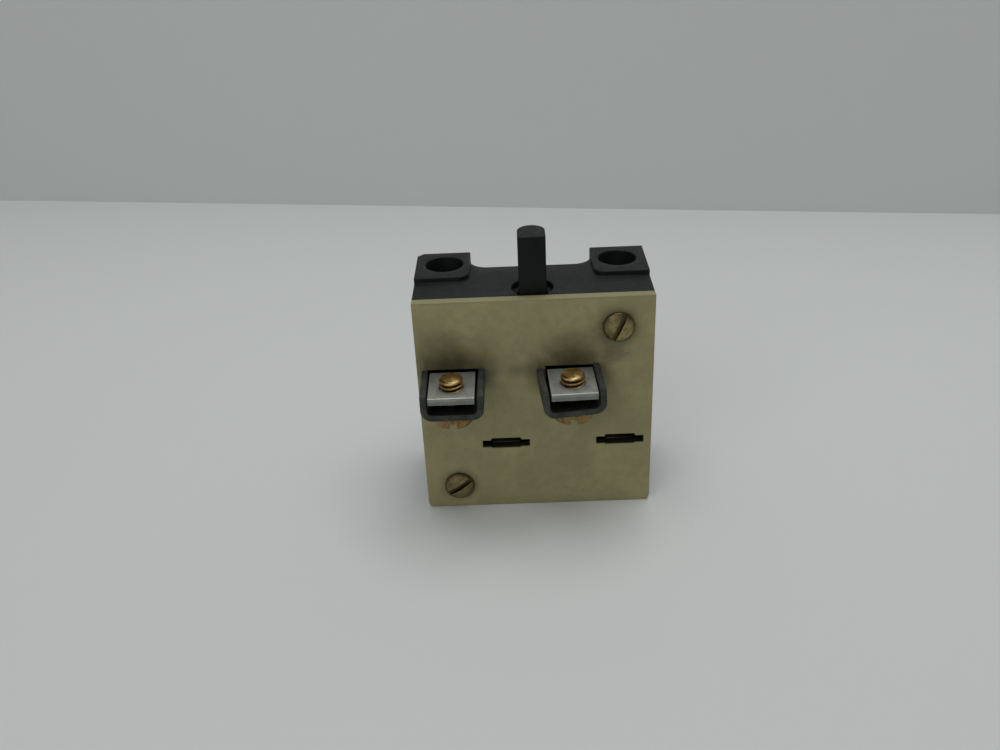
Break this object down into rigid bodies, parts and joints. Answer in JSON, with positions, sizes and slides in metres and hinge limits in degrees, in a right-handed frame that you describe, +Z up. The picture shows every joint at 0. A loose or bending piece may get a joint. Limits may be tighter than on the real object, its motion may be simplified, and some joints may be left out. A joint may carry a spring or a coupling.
{
  "type": "push-operated contact block",
  "caption": "Two-pole push-operated contact block with knife blade slots, screw clamp terminals, a D-section plunger and drilled mounting ears.",
  "frame": {"origin": "on the underside, in the middle of the whole object's box in X and Y", "axes": "+Z up along the plunger, +X to the right seen from the cover, +Y from the cover to the back"},
  "size_m": [0.0412, 0.0294, 0.0526],
  "materials": {
    "black_phenolic": "satin moulded phenolic",
    "tan_fibre": "matt vulcanised fibre with faint mottling",
    "brass": "turned brass, slightly dulled",
    "passivated_screw": "yellow-passivated steel, satin",
    "plated_steel": "dull zinc-plated steel",
    "blackened_brass": "dark oxide, matt",
    "spring_bronze": "satin phosphor bronze",
    "copper_bar": "satin copper alloy",
    "silver_contact": "satin silver",
    "spring_steel": "bright drawn wire"
  },
  "bodies": {
    "housing": {"housing": "black_phenolic", "cover_plate": "tan_fibre", "cover_screw_upper": "brass", "cover_screw_lower": "brass", "cover_insert_upper": "brass", "cover_insert_lower": "brass", "return_spring": "spring_steel", "left_terminal": "blackened_brass", "left_terminal_tip": "silver_contact", "left_blade_jaw": "spring_bronze", "left_jaw_tip": "silver_contact", "right_terminal": "blackened_brass", "right_terminal_tip": "silver_contact", "right_blade_jaw": "spring_bronze", "right_jaw_tip": "silver_contact"},
    "plunger": {"plunger": "black_phenolic", "contact_carrier": "black_phenolic", "carrier_pin": "spring_steel", "left_contact_spring": "spring_steel", "right_contact_spring": "spring_steel"},
    "left_bridge": {"left_contact_bridge": "copper_bar", "left_bridge_tips": "silver_contact"},
    "right_bridge": {"right_contact_bridge": "copper_bar", "right_bridge_tips": "silver_contact"},
    "left_screw": {"left_terminal_screw": "passivated_screw"},
    "left_clamp": {"left_clamp_plate": "plated_steel"},
    "right_screw": {"right_terminal_screw": "passivated_screw"},
    "right_clamp": {"right_clamp_plate": "plated_steel"}
  },
  "joints": [
    {"name": "plunger_travel", "type": "slide", "parent": "housing", "child": "plunger", "axis": [0, 0, -1], "range_m": [0, 0.004], "stiffness_N_per_m": 400, "springref_m": -0.004, "deforming": ["return_spring"]},
    {"name": "left_bridge_float", "type": "slide", "parent": "plunger", "child": "left_bridge", "axis": [0, 0, 1], "range_m": [0, 0.0016], "deforming": ["left_contact_spring"]},
    {"name": "right_bridge_float", "type": "slide", "parent": "plunger", "child": "right_bridge", "axis": [0, 0, 1], "range_m": [0, 0.0016], "deforming": ["right_contact_spring"]},
    {"name": "left_screw_turn", "type": "hinge", "parent": "housing", "child": "left_screw", "pos_m": [-0.0144, -0.01024, 0.02245], "axis": [0, 0, -1], "range_deg": [-600, 720]},
    {"name": "left_clamp_travel", "type": "slide", "parent": "housing", "child": "left_clamp", "axis": [0, 0, 1], "range_m": [-0.0013, 0.00158]},
    {"name": "right_screw_turn", "type": "hinge", "parent": "housing", "child": "right_screw", "pos_m": [0.0062, -0.01024, 0.02245], "axis": [0, 0, -1], "range_deg": [-600, 720]},
    {"name": "right_clamp_travel", "type": "slide", "parent": "housing", "child": "right_clamp", "axis": [0, 0, 1], "range_m": [-0.0013, 0.00158]}
  ],
  "couplings": [
    {"joint": "left_bridge_float", "follows": "plunger_travel", "ratio": 0.38},
    {"joint": "right_bridge_float", "follows": "plunger_travel", "ratio": 0.38},
    {"joint": "left_screw_turn", "follows": "left_clamp_travel", "rad_per_m": 7915.8},
    {"joint": "right_screw_turn", "follows": "right_clamp_travel", "rad_per_m": 7915.8}
  ]
}
